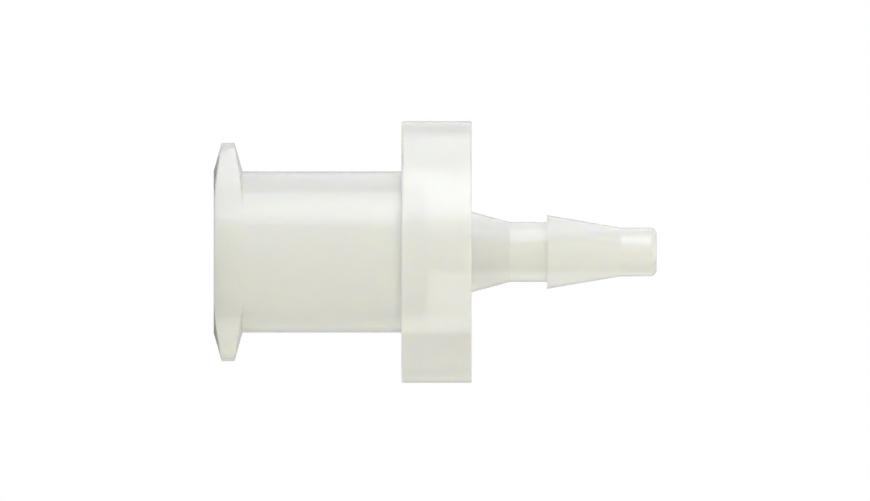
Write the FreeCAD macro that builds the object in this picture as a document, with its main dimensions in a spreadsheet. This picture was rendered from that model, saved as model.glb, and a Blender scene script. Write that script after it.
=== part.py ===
import FreeCAD, Part
import math
import os

import Sketcher

# Female luer fitting with a hose barb, moulded in one piece. All sizes are millimetres.
# The fitting stands on its luer mouth: +Z runs along the flow passage from the mouth to the
# barb's tip, and the two locking lugs point along +X and -X.

SIZES = {
    # Luer end: a barrel with two locking lugs beside its mouth.
    "barrel_diameter": 5.76,
    "lug_span": 7.80,
    "lug_crest_width": 2.23,
    "lug_length": 1.03,
    "lug_front_slope": 0.27,
    "lug_back_slope": 0.28,
    "lug_corner_radius": 0.30,
    # Grip flange: a round waist, a round lobe over each lug, and four flats tangent to both.
    "flange_start": 6.70,
    "flange_thickness": 2.51,
    "flange_span": 9.35,
    "flange_waist": 6.86,
    "flange_lobe_radius": 1.66,
    "flange_edge_radius": 0.06,
    # Hose end: cone, neck, barb and straight tip.
    "cone_root_diameter": 2.88,
    "cone_length": 1.36,
    "neck_diameter": 2.14,
    "neck_length": 1.33,
    "barb_diameter": 2.62,
    "barb_undercut": 0.04,
    "barb_land": 0.05,
    "barb_length": 2.64,
    "tip_diameter": 1.74,
    "tip_length": 1.28,
    "tip_radius": 0.25,
    # Luer socket, which tapers 6 percent on its diameter, and the flow passage behind it.
    "socket_mouth_diameter": 4.30,
    "socket_taper": 0.06,
    "socket_depth": 7.62,
    "socket_floor_radius": 0.20,
    "mouth_edge_radius": 0.10,
    "passage_diameter": 1.00,
}

NODE = "luer_fitting"

# Radii and heights above the mouth face, worked out from the sheet.
BARREL_RADIUS = "sizes.barrel_diameter / 2"
LUG_RADIUS = "sizes.lug_span / 2"
LUG_HEIGHT = "(sizes.lug_span - sizes.barrel_diameter) / 2"
LOBE_RADIUS = "sizes.flange_lobe_radius"
LOBE_CENTRE = f"(sizes.flange_span / 2 - {LOBE_RADIUS})"
WAIST_RADIUS = "sizes.flange_waist / 2"
FLANGE_BACK = "(sizes.flange_start + sizes.flange_thickness)"
CONE_END = f"({FLANGE_BACK} + sizes.cone_length)"
BARB_START = f"({CONE_END} + sizes.neck_length)"
BARB_END = f"({BARB_START} + sizes.barb_length)"
TIP_END = f"({BARB_END} + sizes.tip_length)"
NECK_RADIUS = "sizes.neck_diameter / 2"
BARB_RADIUS = "sizes.barb_diameter / 2"
TIP_RADIUS = "sizes.tip_diameter / 2"
PASSAGE_RADIUS = "sizes.passage_diameter / 2"
SOCKET_RADIUS = "sizes.socket_mouth_diameter / 2"
SOCKET_FLOOR = f"({SOCKET_RADIUS} - sizes.socket_depth * sizes.socket_taper / 2)"

# A cutting outline runs past the material that it removes by this share of its depth.
OVERCUT = 1.25
# How near an edge has to lie to the place where it is looked for.
NEAR = 1e-4

# How a sketch numbers its axes, and the points of an element. Its origin starts the X axis.
X_AXIS, Y_AXIS = range(-1, -3, -1)
START, END, CENTRE = range(1, 4)
ORIGIN = X_AXIS

document = FreeCAD.newDocument("female_luer_fitting")


def make_sheet():
    """The driving sizes, one aliased cell each."""
    sheet = document.addObject("Spreadsheet::Sheet", "sizes")
    for row, (alias, size) in enumerate(SIZES.items(), start=1):
        sheet.set(f"A{row}", alias)
        sheet.set(f"B{row}", str(size))
        sheet.setAlias(f"B{row}", alias)
    document.recompute()
    return sheet


def number(expression):
    """What an expression on the sheet comes to."""
    return float(body.evalExpression(expression))


def add_sketch(name, role, height=None):
    """A sketch on an origin plane of the body, lifted by the height where one is given."""
    sketch = body.newObject("Sketcher::SketchObject", name)
    origin_plane = next(item for item in body.Origin.OriginFeatures if item.Role == role)
    sketch.AttachmentSupport = [(origin_plane, "")]
    sketch.MapMode = "FlatFace"
    if height:
        sketch.setExpression("AttachmentOffset.Base.z", height)
    document.recompute()
    return sketch


def constrain(sketch, kind, *references, size=None):
    """One constraint, driven by the sheet where it has a size."""
    if size is None:
        sketch.addConstraint(Sketcher.Constraint(kind, *references))
        return
    index = sketch.addConstraint(Sketcher.Constraint(kind, *references, number(size)))
    sketch.setExpression(f"Constraints[{index}]", size)


def add_outline(sketch, corners):
    """A closed outline of straight lines through corners given as (radius, height)."""
    points = [FreeCAD.Vector(number(across), number(up), 0) for across, up in corners]
    first = sketch.GeometryCount
    count = len(points)
    for index in range(count):
        sketch.addGeometry(Part.LineSegment(points[index], points[(index + 1) % count]))
    for index, (across, up) in enumerate(corners):
        line = first + index
        before = first + (index - 1) % count
        constrain(sketch, "Coincident", before, END, line, START)
        if across == "0":
            constrain(sketch, "PointOnObject", line, START, Y_AXIS)
        else:
            constrain(sketch, "DistanceX", ORIGIN, START, line, START, size=across)
        if up == "0":
            constrain(sketch, "PointOnObject", line, START, X_AXIS)
        else:
            constrain(sketch, "DistanceY", ORIGIN, START, line, START, size=up)


def add_arcs(sketch, arcs):
    """Arcs given as (centre's place on the X axis, radius, first angle, last angle)."""
    normal = FreeCAD.Vector(0, 0, 1)
    return [
        sketch.addGeometry(
            Part.ArcOfCircle(Part.Circle(FreeCAD.Vector(across, 0, 0), normal, radius), low, high)
        )
        for across, radius, low, high in arcs
    ]


def join_with_flats(sketch, arcs, end_joint):
    """Close arcs with straight flats: tangent to the second and fourth arc, end_joint elsewhere."""
    for index, arc in enumerate(arcs):
        after = arcs[(index + 1) % len(arcs)]
        flat = sketch.addGeometry(
            Part.LineSegment(sketch.getPoint(arc, END), sketch.getPoint(after, START))
        )
        joints = (end_joint, "Tangent") if index % 2 == 0 else ("Tangent", end_joint)
        constrain(sketch, joints[0], arc, END, flat, START)
        constrain(sketch, joints[1], flat, END, after, START)


def add_lug_outline(sketch):
    """Two crests on the lug circle, and flats that run from them tangent to the barrel."""
    crest, core = number(LUG_RADIUS), number(BARREL_RADIUS)
    crest_angle = math.asin(number("sizes.lug_crest_width") / 2 / crest)
    flat_angle = crest_angle + math.acos(core / crest)
    arcs = add_arcs(sketch, [
        (0, crest, -crest_angle, crest_angle),
        (0, core, flat_angle, math.pi - flat_angle),
        (0, crest, math.pi - crest_angle, math.pi + crest_angle),
        (0, core, math.pi + flat_angle, 2 * math.pi - flat_angle),
    ])
    for arc in arcs:
        constrain(sketch, "Coincident", arc, CENTRE, ORIGIN, START)
    join_with_flats(sketch, arcs, "Coincident")
    right, top, left, bottom = arcs
    constrain(sketch, "Radius", right, size=LUG_RADIUS)
    constrain(sketch, "Equal", right, left)
    constrain(sketch, "Radius", top, size=BARREL_RADIUS)
    constrain(sketch, "Equal", top, bottom)
    constrain(sketch, "DistanceY", right, START, right, END, size="sizes.lug_crest_width")
    constrain(sketch, "Vertical", right, START, right, END)
    constrain(sketch, "Horizontal", right, END, left, START)
    constrain(sketch, "Vertical", left, START, left, END)


def add_flange_outline(sketch):
    """Two lobes and a round waist, with flats tangent to both."""
    lobe, waist, middle = number(LOBE_RADIUS), number(WAIST_RADIUS), number(LOBE_CENTRE)
    flat_angle = math.acos((waist - lobe) / middle)
    arcs = add_arcs(sketch, [
        (middle, lobe, -flat_angle, flat_angle),
        (0, waist, flat_angle, math.pi - flat_angle),
        (-middle, lobe, math.pi - flat_angle, math.pi + flat_angle),
        (0, waist, math.pi + flat_angle, 2 * math.pi - flat_angle),
    ])
    join_with_flats(sketch, arcs, "Tangent")
    right, top, left, bottom = arcs
    for arc in (top, bottom):
        constrain(sketch, "Coincident", arc, CENTRE, ORIGIN, START)
    for arc in (right, left):
        constrain(sketch, "PointOnObject", arc, CENTRE, X_AXIS)
    constrain(sketch, "DistanceX", ORIGIN, START, right, CENTRE, size=LOBE_CENTRE)
    constrain(sketch, "DistanceX", left, CENTRE, ORIGIN, START, size=LOBE_CENTRE)
    constrain(sketch, "Radius", right, size=LOBE_RADIUS)
    constrain(sketch, "Equal", right, left)
    constrain(sketch, "Radius", top, size=WAIST_RADIUS)
    constrain(sketch, "Equal", top, bottom)


def add_feature(kind, name, sketch, **settings):
    """A sketched feature; a setting given as text is an expression on the sheet."""
    feature = body.newObject(f"PartDesign::{kind}", name)
    feature.Profile = sketch
    for key, setting in settings.items():
        if isinstance(setting, str):
            feature.setExpression(key, setting)
        else:
            setattr(feature, key, setting)
    document.recompute()
    return feature


def add_turned(kind, name, sketch):
    """A full turn of the sketch about the fitting's own axis."""
    return add_feature(kind, name, sketch, ReferenceAxis=(sketch, ["V_Axis"]), Angle=360)


def add_fillet(name, radius, wanted):
    """Round those edges of the finished shape that wanted() picks."""
    base = body.Tip
    edges = [f"Edge{i}" for i, edge in enumerate(base.Shape.Edges, start=1) if wanted(edge)]
    if not edges:
        raise RuntimeError(f"{name}: no edge to round")
    fillet = body.newObject("PartDesign::Fillet", name)
    fillet.Base = (base, edges)
    fillet.setExpression("Radius", radius)
    document.recompute()
    return fillet


def radius_at(point):
    return math.hypot(point.x, point.y)


def is_ring(edge, radius, height):
    """A full circle round the axis, of this radius and at this height."""
    return (
        isinstance(edge.Curve, Part.Circle)
        and len(edge.Vertexes) == 1
        and abs(edge.Curve.Radius - number(radius)) < NEAR
        and abs(edge.Curve.Center.z - number(height)) < NEAR
    )


def is_level(edge, height):
    low, high = edge.BoundBox.ZMin, edge.BoundBox.ZMax
    return abs(low - number(height)) < NEAR and abs(high - number(height)) < NEAR


def make_turned_body():
    """Barrel, core of the flange, cone, neck, barb and tip, turned as one profile."""
    sketch = add_sketch("turned_profile", "XZ_Plane")
    add_outline(sketch, [
        ("0", "0"),
        (BARREL_RADIUS, "0"),
        (BARREL_RADIUS, FLANGE_BACK),
        ("sizes.cone_root_diameter / 2", FLANGE_BACK),
        (NECK_RADIUS, CONE_END),
        (NECK_RADIUS, f"{BARB_START} + sizes.barb_undercut"),
        (BARB_RADIUS, BARB_START),
        (BARB_RADIUS, f"{BARB_START} + sizes.barb_land"),
        (TIP_RADIUS, BARB_END),
        (TIP_RADIUS, TIP_END),
        ("0", TIP_END),
    ])
    add_turned("Revolution", "turned_body", sketch)
    add_fillet("tip_round", "sizes.tip_radius", lambda edge: is_ring(edge, TIP_RADIUS, TIP_END))


def make_lugs():
    """Two lugs with sides tangent to the barrel, and a slope on their front and back."""
    outline = add_sketch("lug_outline", "XY_Plane")
    add_lug_outline(outline)
    add_feature("Pad", "lugs", outline, Length="sizes.lug_length")

    def on_corner(edge):
        """An edge along the axis where a crest meets a flat."""
        return edge.BoundBox.ZLength > NEAR and all(
            abs(radius_at(vertex.Point) - number(LUG_RADIUS)) < NEAR for vertex in edge.Vertexes
        )

    add_fillet("lug_corner_round", "sizes.lug_corner_radius", on_corner)

    slopes = add_sketch("lug_slopes", "XZ_Plane")
    outside = f"{BARREL_RADIUS} + {OVERCUT} * {LUG_HEIGHT}"
    add_outline(slopes, [
        (BARREL_RADIUS, "0"),
        (outside, "0"),
        (outside, f"{OVERCUT} * sizes.lug_front_slope"),
    ])
    add_outline(slopes, [
        (BARREL_RADIUS, "sizes.lug_length"),
        (outside, f"sizes.lug_length - {OVERCUT} * sizes.lug_back_slope"),
        (outside, "sizes.lug_length"),
    ])
    add_turned("Groove", "lug_slope_cut", slopes)


def make_flange():
    """The grip flange, with both rims rounded."""
    outline = add_sketch("flange_outline", "XY_Plane", "sizes.flange_start")
    add_flange_outline(outline)
    add_feature("Pad", "flange", outline, Length="sizes.flange_thickness")

    def on_rim(edge):
        """An edge in either face, further out than the barrel."""
        level = is_level(edge, "sizes.flange_start") or is_level(edge, FLANGE_BACK)
        return level and radius_at(edge.CenterOfMass) > number(BARREL_RADIUS)

    add_fillet("flange_rim_round", "sizes.flange_edge_radius", on_rim)


def make_bore():
    """The tapered luer socket and the flow passage, cut from the mouth to the tip."""
    sketch = add_sketch("bore_profile", "XZ_Plane")
    add_outline(sketch, [
        ("0", "0"),
        (SOCKET_RADIUS, "0"),
        (SOCKET_FLOOR, "sizes.socket_depth"),
        (PASSAGE_RADIUS, "sizes.socket_depth"),
        (PASSAGE_RADIUS, TIP_END),
        ("0", TIP_END),
    ])
    add_turned("Groove", "bore", sketch)
    add_fillet(
        "socket_floor_round",
        "sizes.socket_floor_radius",
        lambda edge: is_ring(edge, SOCKET_FLOOR, "sizes.socket_depth"),
    )
    add_fillet(
        "mouth_round",
        "sizes.mouth_edge_radius",
        lambda edge: is_ring(edge, SOCKET_RADIUS, "0"),
    )


def check_document():
    """Stop where an object failed, or where the body isn't one valid solid."""
    for item in document.Objects:
        if "Invalid" in item.State or "Error" in item.State:
            raise RuntimeError(f"{item.Name}: {item.State}")
    shape = body.Shape
    if shape.isNull() or not shape.isValid() or len(shape.Solids) != 1:
        raise RuntimeError(f"{body.Label}: its shape isn't one valid solid")


make_sheet()
body = document.addObject("PartDesign::Body", NODE)
body.Label = NODE
make_turned_body()
make_lugs()
make_flange()
make_bore()
document.recompute()
check_document()

os.makedirs("parts", exist_ok=True)
body.Shape.exportStep(os.path.join("parts", f"{body.Label}.step"))
box = body.Shape.optimalBoundingBox(True, False)
print(f"{body.Label}: {box.XLength:.2f} x {box.YLength:.2f} x {box.ZLength:.2f} mm,")
print(f"volume {body.Shape.Volume:.2f} mm3")
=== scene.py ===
import math

import bmesh
import bpy
from mathutils import Matrix, Vector


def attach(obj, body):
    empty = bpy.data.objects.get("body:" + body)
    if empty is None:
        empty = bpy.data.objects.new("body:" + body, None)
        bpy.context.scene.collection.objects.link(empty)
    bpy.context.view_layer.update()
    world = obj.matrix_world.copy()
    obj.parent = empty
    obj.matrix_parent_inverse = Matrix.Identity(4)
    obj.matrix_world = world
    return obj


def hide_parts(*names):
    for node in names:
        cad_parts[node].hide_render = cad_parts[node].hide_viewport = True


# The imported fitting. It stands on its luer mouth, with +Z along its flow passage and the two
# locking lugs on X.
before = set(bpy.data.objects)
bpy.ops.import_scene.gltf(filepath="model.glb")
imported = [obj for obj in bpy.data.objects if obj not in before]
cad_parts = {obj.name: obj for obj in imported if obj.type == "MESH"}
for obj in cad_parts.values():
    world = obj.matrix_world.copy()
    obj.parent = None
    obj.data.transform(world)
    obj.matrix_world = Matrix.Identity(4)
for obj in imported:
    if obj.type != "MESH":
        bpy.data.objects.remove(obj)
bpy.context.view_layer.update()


# The luer end. The fitting is one shot of uncoloured polypropylene, so it is one closed skin,
# drawn out ring by ring: from the mouth's inner rim, over the mouth's face and the two locking
# lugs that the mould cuts beside it, and along the barrel.
MM = 0.001
STEPS_ROUND = 360
ROUNDING_STEPS = 6

# The fitting's sizes are in millimetres, and the studio's in metres, as the scene is.
MOUTH_RADIUS = 2.15
MOUTH_ROUND = 0.10
BARREL_RADIUS = 2.88
BARREL_LENGTH = 6.70

LUG_REACH = 3.90
LUG_RISE = LUG_REACH - BARREL_RADIUS
LUG_CREST_WIDTH = 2.23
LUG_CORNER = 0.30
LUG_LENGTH = 1.03
LUG_FRONT_SLOPE = 0.27
LUG_BACK_SLOPE = 0.28
LUG_CREST_BLEND = 0.04
SLOPE_STEPS = 12

# A straight wall has a ring this near each end, so that only its ends blend into what follows.
HEM = 0.03


def spot(point, height, radius):
    """Where a ring passes this point; its radius is a number or a rule by angle."""
    angle = math.atan2(point.co.y, point.co.x)
    reach = radius(angle) if callable(radius) else radius
    return Vector((reach * math.cos(angle), reach * math.sin(angle), height)) * MM


class Skin:
    """A closed skin that grows ring by ring."""

    def __init__(self, height, radius):
        self.mesh = bmesh.new()
        bmesh.ops.create_circle(self.mesh, segments=STEPS_ROUND, radius=1)
        self.first = self.ring = self.mesh.edges[:]
        for point in self.mesh.verts:
            point.co = spot(point, height, radius)

    def grow(self):
        """Draw the last ring out, and give the new ring's points, which still have to move."""
        grown = bmesh.ops.extrude_edge_only(self.mesh, edges=self.ring)["geom"]
        points = {item for item in grown if isinstance(item, bmesh.types.BMVert)}
        self.ring = [
            item for item in grown
            if isinstance(item, bmesh.types.BMEdge) and points.issuperset(item.verts)
        ]
        return points

    def draw_to(self, height, radius):
        """Draw the skin on to its next ring, and give that ring back."""
        for point in self.grow():
            point.co = spot(point, height, radius)
        return self.ring

    def hem(self, height, radius, near=HEM, far=HEM):
        """Draw two rings along a straight wall to this ring, this far in from its two ends."""
        for point in self.grow():
            way = spot(point, height, radius) - point.co
            point.co += way.normalized() * near * MM
        for point in self.grow():
            way = spot(point, height, radius) - point.co
            point.co += way - way.normalized() * far * MM

    def draw_wall(self, height, radius, near=HEM, far=HEM):
        """Draw a straight wall on to its far ring, and give that ring back."""
        self.hem(height, radius, near, far)
        return self.draw_to(height, radius)

    def close(self):
        """Join the last ring to the first one, and point every face outwards."""
        bmesh.ops.bridge_loops(self.mesh, edges=self.first + self.ring)
        bmesh.ops.recalc_face_normals(self.mesh, faces=self.mesh.faces)

    def round_over(self, ring, radius):
        """Round the edge that runs along this ring."""
        bmesh.ops.bevel(
            self.mesh, geom=ring, offset=radius * MM, segments=ROUNDING_STEPS, profile=0.5,
            affect="EDGES", material=-1,
        )


def quarter(angle):
    """An angle from the lugs' axis, folded into the first quarter."""
    return math.acos(min(abs(math.cos(angle)), 1))


def lobed_reach(turned, middle_angle, middle_reach, radius, flat_angle, core):
    """How far out a round lobe, the flat tangent to it and the round core beside it lie."""
    if turned > flat_angle:
        return core
    flat_start = math.atan2(
        middle_reach * math.sin(middle_angle) + radius * math.sin(flat_angle),
        middle_reach * math.cos(middle_angle) + radius * math.cos(flat_angle),
    )
    if turned > flat_start:
        return core / math.cos(flat_angle - turned)
    aside = middle_reach * math.sin(turned - middle_angle)
    return middle_reach * math.cos(turned - middle_angle) + math.sqrt(radius**2 - aside**2)


# From the lugs' axis: where the crest ends, which way the flat faces, where the corner's
# middle is.
LUG_CREST_ANGLE = math.asin(LUG_CREST_WIDTH / 2 / LUG_REACH)
LUG_FLAT_ANGLE = LUG_CREST_ANGLE + math.acos(BARREL_RADIUS / LUG_REACH)
LUG_CORNER_REACH = LUG_REACH - LUG_CORNER
LUG_CORNER_ANGLE = LUG_FLAT_ANGLE - math.acos((BARREL_RADIUS - LUG_CORNER) / LUG_CORNER_REACH)


def lug_reach(angle):
    """Round crest, rounded corner, then a flat that runs out tangent to the barrel."""
    turned = quarter(angle)
    if turned < LUG_CORNER_ANGLE:
        return LUG_REACH
    return lobed_reach(
        turned, LUG_CORNER_ANGLE, LUG_CORNER_REACH, LUG_CORNER, LUG_FLAT_ANGLE, BARREL_RADIUS
    )


def sloped_lugs(rise):
    """A ring over both lugs where their slope has risen this far and blends into the crest."""
    slope = BARREL_RADIUS + rise

    def reach(angle):
        lug = lug_reach(angle)
        near = max(LUG_CREST_BLEND - abs(lug - slope), 0) / LUG_CREST_BLEND
        return max(min(lug, slope) - near**2 * LUG_CREST_BLEND / 4, BARREL_RADIUS)

    return reach


skin = Skin(0, MOUTH_RADIUS)
mouth_rim = skin.ring
skin.draw_wall(0, BARREL_RADIUS, near=MOUTH_ROUND + HEM)
highest_slope = LUG_RISE + LUG_CREST_BLEND
rises = [highest_slope * step / SLOPE_STEPS for step in range(1, SLOPE_STEPS + 1)]
for rise in rises:
    skin.draw_to(LUG_FRONT_SLOPE * rise / LUG_RISE, sloped_lugs(rise))
for rise in reversed(rises):
    skin.draw_to(LUG_LENGTH - LUG_BACK_SLOPE * rise / LUG_RISE, sloped_lugs(rise))
skin.draw_to(LUG_LENGTH, BARREL_RADIUS)
skin.draw_wall(BARREL_LENGTH, BARREL_RADIUS)


# The grip flange, which fingers turn the fitting by. It is moulded round the barrel's closed
# end: a round waist, a round lobe over each lug, and four flats tangent to both.
FLANGE_THICKNESS = 2.51
FLANGE_BACK = BARREL_LENGTH + FLANGE_THICKNESS
FLANGE_REACH = 4.675
FLANGE_WAIST = 3.43
FLANGE_LOBE = 1.66
FLANGE_LOBE_MIDDLE = FLANGE_REACH - FLANGE_LOBE
FLANGE_FLAT_ANGLE = math.acos((FLANGE_WAIST - FLANGE_LOBE) / FLANGE_LOBE_MIDDLE)
FLANGE_RIM_ROUND = 0.06
FLANGE_RIM_HEM = FLANGE_RIM_ROUND + HEM


def flange_reach(angle):
    """Round lobe over each lug, then a flat that runs out tangent to the round waist."""
    return lobed_reach(
        quarter(angle), 0, FLANGE_LOBE_MIDDLE, FLANGE_LOBE, FLANGE_FLAT_ANGLE, FLANGE_WAIST
    )


flange_rims = [
    skin.draw_wall(BARREL_LENGTH, flange_reach, far=FLANGE_RIM_HEM),
    skin.draw_wall(FLANGE_BACK, flange_reach, near=FLANGE_RIM_HEM, far=FLANGE_RIM_HEM),
]


# The hose end. A cone carries a neck, one barb that soft tube is pushed over and can't slip
# back past, and a straight tip with a rounded end that starts the tube.
CONE_ROOT = 1.44
CONE_LENGTH = 1.36
NECK_START = FLANGE_BACK + CONE_LENGTH
NECK_RADIUS = 1.07
NECK_LENGTH = 1.33
BARB_START = NECK_START + NECK_LENGTH
BARB_RADIUS = 1.31
BARB_UNDERCUT = 0.04
BARB_LAND = 0.05
BARB_LENGTH = 2.64
TIP_START = BARB_START + BARB_LENGTH
TIP_RADIUS = 0.87
TIP_LENGTH = 1.28
TIP_END = TIP_START + TIP_LENGTH
TIP_ROUND = 0.25
TIP_HEM = TIP_ROUND + HEM

skin.draw_wall(FLANGE_BACK, CONE_ROOT, near=FLANGE_RIM_HEM)
skin.draw_wall(NECK_START, NECK_RADIUS)
skin.draw_wall(BARB_START + BARB_UNDERCUT, NECK_RADIUS)
skin.draw_to(BARB_START, BARB_RADIUS)
skin.draw_to(BARB_START + BARB_LAND, BARB_RADIUS)
skin.draw_wall(TIP_START, TIP_RADIUS)
tip_rim = skin.draw_wall(TIP_END, TIP_RADIUS, far=TIP_HEM)


# The bore. The flow passage runs back from the tip into the luer socket, whose wall tapers
# 6 percent on its diameter, so that a male luer cone wedges tight in it. The skin ends where
# it began, at the mouth's inner rim, and its rims are rounded.
PASSAGE_RADIUS = 0.50
PASSAGE_EDGE = 0.02
PASSAGE_HEM = PASSAGE_EDGE + HEM
SOCKET_DEPTH = 7.62
SOCKET_TAPER = 0.06
SOCKET_END_RADIUS = MOUTH_RADIUS - SOCKET_DEPTH * SOCKET_TAPER / 2
SOCKET_FLOOR_ROUND = 0.20
SOCKET_FLOOR_HEM = SOCKET_FLOOR_ROUND + HEM

passage_rims = [
    skin.draw_wall(TIP_END, PASSAGE_RADIUS, near=TIP_HEM, far=PASSAGE_HEM),
    skin.draw_wall(SOCKET_DEPTH, PASSAGE_RADIUS, near=PASSAGE_HEM, far=PASSAGE_HEM),
]
socket_floor = skin.draw_wall(
    SOCKET_DEPTH, SOCKET_END_RADIUS, near=PASSAGE_HEM, far=SOCKET_FLOOR_HEM
)
skin.hem(0, MOUTH_RADIUS, near=SOCKET_FLOOR_HEM, far=MOUTH_ROUND + HEM)
skin.close()
for rim in flange_rims:
    skin.round_over(rim, FLANGE_RIM_ROUND)
for rim in passage_rims:
    skin.round_over(rim, PASSAGE_EDGE)
skin.round_over(tip_rim, TIP_ROUND)
skin.round_over(socket_floor, SOCKET_FLOOR_ROUND)
skin.round_over(mouth_rim, MOUTH_ROUND)


# The moulded fitting stands for its solid. Faces within a rounding are shaded as one curve, and
# the edges that the mould leaves sharp stay sharp.
SHARP_ANGLE = 32

shape = bpy.data.meshes.new("moulded_fitting")
skin.mesh.to_mesh(shape)
skin.mesh.free()
shape.shade_smooth()
shape.set_sharp_from_angle(angle=math.radians(SHARP_ANGLE))
fitting = bpy.data.objects.new("moulded_fitting", shape)
bpy.context.scene.collection.objects.link(fitting)
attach(fitting, "root")
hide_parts("luer_fitting")


# Natural polypropylene: no pigment, so its body is milky and lets light through, a little
# yellower where it is clouded. The mould's polish lies over it as a clear coat with a soft sheen.
MILKY = (0.957, 0.957, 0.912, 1)
CLOUDED = (0.937, 0.937, 0.882, 1)
CLEARNESS = 0.45
SCATTER_DEPTH = 0.25
SCATTER_BY_COLOUR = (1.0, 0.9, 0.5)
BODY_ROUGHNESS = 0.28
COAT_ROUGHNESS = 0.09
COAT_IOR = 1.49

# A little under the coat's, which softens the line where light is turned back inside.
BODY_IOR = 1.42

# How many clouds, ripples and grains a metre would hold, then how rough the last two make it.
CLOUD_SCALE = 450
RIPPLE_SCALE = 900
GRAIN_SCALE = 9000
RIPPLE_HEIGHT = 0.002
GRAIN_IN_RELIEF = 0.2
GRAIN_IN_ROUGHNESS = 0.05


class Wire:
    """What a shader node gives out; sums on it are written as Python writes them."""

    def __init__(self, tree, socket=None):
        self.tree = tree
        self.socket = socket

    def node(self, kind, settings=None, feeds=None, gives=None):
        """Add a node: its settings first, then a value or a wire for each socket that is fed.

        A socket goes by its name, or by its number on a node that has two of one name.
        """
        made = self.tree.nodes.new("ShaderNode" + kind)
        for name, setting in (settings or {}).items():
            setattr(made, name, setting)
        sockets = [item for item in made.inputs if item.enabled]
        for key, feed in (feeds or {}).items():
            if isinstance(key, int):
                socket = sockets[key]
            else:
                socket = next(item for item in sockets if item.name == key)
            if isinstance(feed, Wire):
                self.tree.links.new(feed.socket, socket)
            else:
                socket.default_value = feed
        given = [item for item in made.outputs if item.enabled and gives in (None, item.name)]
        return Wire(self.tree, given[0] if given else None)

    def __add__(self, other):
        return self.node("Math", {"operation": "ADD"}, {0: self, 1: other})

    def __mul__(self, other):
        return self.node("Math", {"operation": "MULTIPLY"}, {0: self, 1: other})

    __radd__ = __add__
    __rmul__ = __mul__


def bare_tree(owner):
    """Turn on the nodes of a material or a world, and start its tree with none in it."""
    owner.use_nodes = True
    owner.node_tree.nodes.clear()
    return Wire(owner.node_tree)


plastic = bpy.data.materials.new("natural_polypropylene")
wire = bare_tree(plastic)
place = wire.node("TexCoord", gives="Object")
clouds = wire.node("TexNoise", feeds={"Vector": place, "Scale": CLOUD_SCALE, "Detail": 3})
grain = wire.node("TexNoise", feeds={"Vector": place, "Scale": GRAIN_SCALE, "Detail": 2})
ripple = wire.node("TexNoise", feeds={"Vector": place, "Scale": RIPPLE_SCALE, "Detail": 1})
colour = wire.node("Mix", {"data_type": "RGBA"}, {"Factor": clouds, "A": MILKY, "B": CLOUDED})
height = ripple + GRAIN_IN_RELIEF * grain
relief = wire.node("Bump", feeds={"Strength": 1, "Distance": RIPPLE_HEIGHT * MM, "Height": height})
surface = wire.node(
    "BsdfPrincipled",
    feeds={
        "Base Color": colour,
        "Roughness": BODY_ROUGHNESS + GRAIN_IN_ROUGHNESS * grain,
        "IOR": BODY_IOR,
        "Specular IOR Level": 0,
        "Coat Weight": 1,
        "Coat Roughness": COAT_ROUGHNESS,
        "Coat IOR": COAT_IOR,
        "Transmission Weight": CLEARNESS,
        "Subsurface Weight": 1,
        "Subsurface Radius": SCATTER_BY_COLOUR,
        "Subsurface Scale": SCATTER_DEPTH * MM,
        "Normal": relief,
    },
)
wire.node("OutputMaterial", feeds={"Surface": surface})
shape.materials.append(plastic)


# The floor: a plain pale board, matt, so that it mirrors nothing. It lies a hair under the
# mouth's face, so that the two don't share a plane.
FLOOR_REACH = 0.6
FLOOR_GAP = 0.00005
PALE = (0.95, 0.95, 0.95, 1)
FLOOR_ROUGHNESS = 0.8

board = bmesh.new()
bmesh.ops.create_grid(board, x_segments=1, y_segments=1, size=FLOOR_REACH)
bmesh.ops.translate(board, vec=(0, 0, -FLOOR_GAP), verts=board.verts)
floor_mesh = bpy.data.meshes.new("floor")
board.to_mesh(floor_mesh)
board.free()
floor = bpy.data.objects.new("floor", floor_mesh)
bpy.context.scene.collection.objects.link(floor)

paint = bpy.data.materials.new("floor_paint")
wire = bare_tree(paint)
surface = wire.node("BsdfPrincipled", feeds={"Base Color": PALE, "Roughness": FLOOR_ROUGHNESS})
wire.node("OutputMaterial", feeds={"Surface": surface})
floor_mesh.materials.append(paint)


# The studio: even white light from all round, a soft box overhead, and soft boxes that stand
# round the fitting. The strongest, low and to the camera's left, draws the long highlight.
WHITE = (1, 1, 1, 1)
ROOM_LIGHT = 0.575
BACKGROUND = 1.0

# How much of the white background shows through the plastic, where the room's light would.
SEEN_THROUGH = 0.45

DAYLIGHT = (0.92, 0.95, 1.0)
WARM = (1.0, 0.97, 0.66)
LOW_BOX = 0.16
MIDDLE_BOX = 0.40
TALL_BOX = 0.70
BOX_DISTANCE = 1.0
TOP_BOX_DISTANCE = 1.2
TOP_BOX_SIDE = 0.80

studio = bpy.data.worlds.new("studio")
bpy.context.scene.world = studio
wire = bare_tree(studio)
seen = wire.node("LightPath", gives="Is Camera Ray")
through = wire.node("LightPath", gives="Is Transmission Ray")
room = wire.node("Background", feeds={"Color": WHITE, "Strength": ROOM_LIGHT})
background = wire.node("Background", feeds={"Color": WHITE, "Strength": BACKGROUND})
shown = seen + SEEN_THROUGH * through
mixed = wire.node("MixShader", feeds={0: shown, 1: room, 2: background})
wire.node("OutputWorld", feeds={"Surface": mixed})


def soft_box(name, place, outward, width, height, radiance, colour):
    """A box of light at this place, outward from the fitting, which faces back towards it."""
    lamp = bpy.data.lights.new(name, "AREA")
    lamp.shape = "RECTANGLE"
    lamp.size = width
    lamp.size_y = height
    lamp.energy = radiance * math.pi * width * height
    lamp.color = colour
    box = bpy.data.objects.new(name, lamp)
    box.location = place
    box.rotation_euler = outward.to_track_quat("Z", "Y").to_euler()
    box.visible_camera = False
    bpy.context.scene.collection.objects.link(box)


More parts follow.
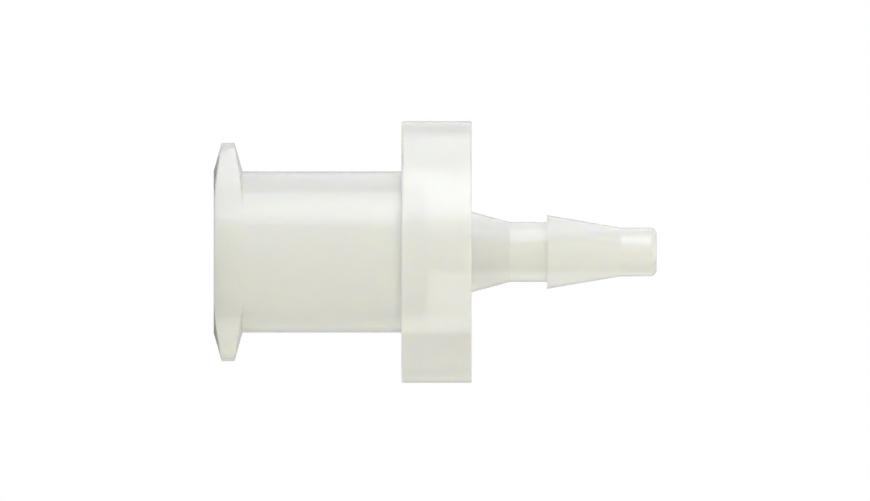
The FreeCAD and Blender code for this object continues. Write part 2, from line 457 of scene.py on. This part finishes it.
def standing_box(name, first, last, height, radiance, colour):
    """A box that stands on the floor between two angles, from the camera round to its left."""
    turn = math.radians((first + last) / 2)
    width = 2 * BOX_DISTANCE * math.tan(math.radians((last - first) / 2))
    outward = Vector((-math.sin(turn), -math.cos(turn), 0))
    place = outward * BOX_DISTANCE + Vector((0, 0, height / 2))
    soft_box(name, place, outward, width, height, radiance, colour)


standing_box("key_box", 53, 78, LOW_BOX, 3.6, DAYLIGHT)
standing_box("tall_box", 50, 80, TALL_BOX, 1.2, DAYLIGHT)
standing_box("near_box", 40, 53, LOW_BOX, 3.3, DAYLIGHT)
standing_box("left_box", 78, 95, LOW_BOX, 2.8, DAYLIGHT)
standing_box("front_box", -20, 40, MIDDLE_BOX, 1.1, WARM)
standing_box("back_box", 90, 150, MIDDLE_BOX, 0.65, DAYLIGHT)
standing_box("right_box", -80, -20, MIDDLE_BOX, 1.0, WARM)
standing_box("right_back_box", -140, -80, MIDDLE_BOX, 0.6, WARM)
up = Vector((0, 0, 1))
soft_box("top_box", up * TOP_BOX_DISTANCE, up, TOP_BOX_SIDE, TOP_BOX_SIDE, 2.6, DAYLIGHT)


# The camera looks along +Y and lies on its side, so that the fitting points to the right. It has
# no perspective, as in the photo, where neither the mouth's face nor the flange's faces show.
PHOTO_WIDTH = 870
PIXELS_PER_MM = 28.0
MOUTH_PIXEL = 213.7
AXIS_PIXELS_BELOW_MIDDLE = 1.5
CAMERA_DISTANCE = 0.3
CLIP_START = 0.01
CLIP_END = 5
ON_ITS_SIDE = Matrix(((0, -1, 0, 0), (0, 0, -1, 0), (1, 0, 0, 0), (0, 0, 0, 1)))

eye = bpy.data.cameras.new("camera")
eye.type = "ORTHO"
eye.ortho_scale = PHOTO_WIDTH / PIXELS_PER_MM * MM
eye.clip_start = CLIP_START
eye.clip_end = CLIP_END
camera = bpy.data.objects.new("camera", eye)
camera.matrix_world = ON_ITS_SIDE
camera.location = (
    -AXIS_PIXELS_BELOW_MIDDLE / PIXELS_PER_MM * MM,
    -CAMERA_DISTANCE,
    (PHOTO_WIDTH / 2 - MOUTH_PIXEL) / PIXELS_PER_MM * MM,
)
bpy.context.scene.collection.objects.link(camera)
bpy.context.scene.camera = camera
bpy.context.scene.view_settings.view_transform = "Standard"
